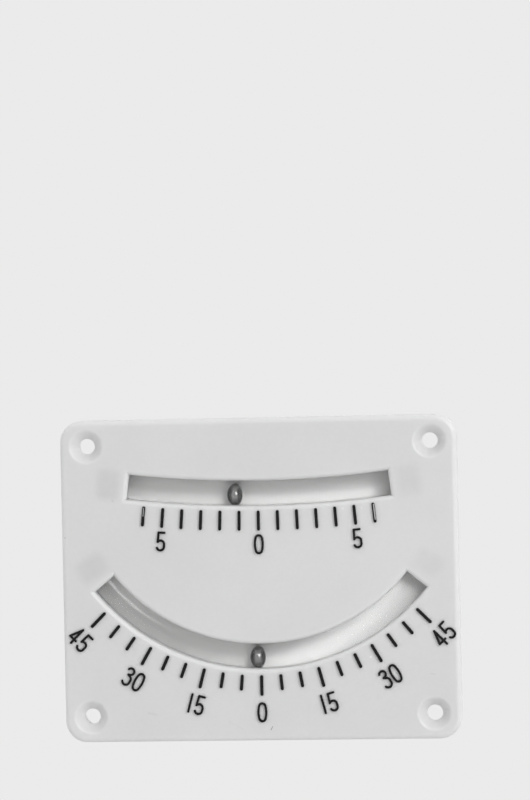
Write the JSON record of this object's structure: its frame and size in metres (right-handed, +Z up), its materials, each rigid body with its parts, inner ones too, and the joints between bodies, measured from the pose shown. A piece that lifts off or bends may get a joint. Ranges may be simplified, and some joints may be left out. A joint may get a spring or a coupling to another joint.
{
  "type": "inclinometer",
  "caption": "Surface-mounted two-scale clinometer plate: ball in curved liquid-filled tube, fine upper scale and coarse lower scale, four countersunk holes.",
  "frame": {"origin": "centre of the flat rear face that lies on the bulkhead", "axes": "+X to the right and +Z up as the scales are read, +Y into the bulkhead (the face looks along -Y)"},
  "size_m": [0.101, 0.0113, 0.082],
  "materials": {
    "housing_plastic": "satin",
    "cover_plastic": "satin",
    "clear_tube": "clear",
    "damping_liquid": "clear",
    "ball_steel": "polished",
    "stopper_rubber": "matte",
    "mark_foil": "hot stamped",
    "screw_steel": "zinc plated"
  },
  "bodies": {
    "case": {"coarse_fluid": "damping_liquid", "coarse_left_stopper": "stopper_rubber", "coarse_long_lines": "mark_foil", "coarse_numeral_0": "mark_foil", "coarse_numerals_15": "mark_foil", "coarse_numerals_30": "mark_foil", "coarse_numerals_45": "mark_foil", "coarse_right_stopper": "stopper_rubber", "coarse_short_lines": "mark_foil", "coarse_tube": "clear_tube", "fine_fluid": "damping_liquid", "fine_left_stopper": "stopper_rubber", "fine_lines": "mark_foil", "fine_numeral_0": "mark_foil", "fine_numerals_5": "mark_foil", "fine_right_stopper": "stopper_rubber", "fine_tube": "clear_tube", "front_housing": "housing_plastic", "rear_cover": "cover_plastic", "rear_cover_screws": "screw_steel"},
    "fine_ball": {"fine_ball": "ball_steel"},
    "coarse_ball": {"coarse_ball": "ball_steel"}
  },
  "joints": [
    {"name": "fine_ball_roll", "type": "hinge", "parent": "case", "child": "fine_ball", "pos_m": [0, -0.0057, 0.29618], "axis": [0, -1, 0], "range_deg": [-5.73, 8.33], "deforming": ["fine_fluid"]},
    {"name": "coarse_ball_roll", "type": "hinge", "parent": "case", "child": "coarse_ball", "pos_m": [0, -0.0057, 0.03175], "axis": [0, -1, 0], "range_deg": [-49.93, 52.53], "deforming": ["coarse_fluid"]}
  ]
}
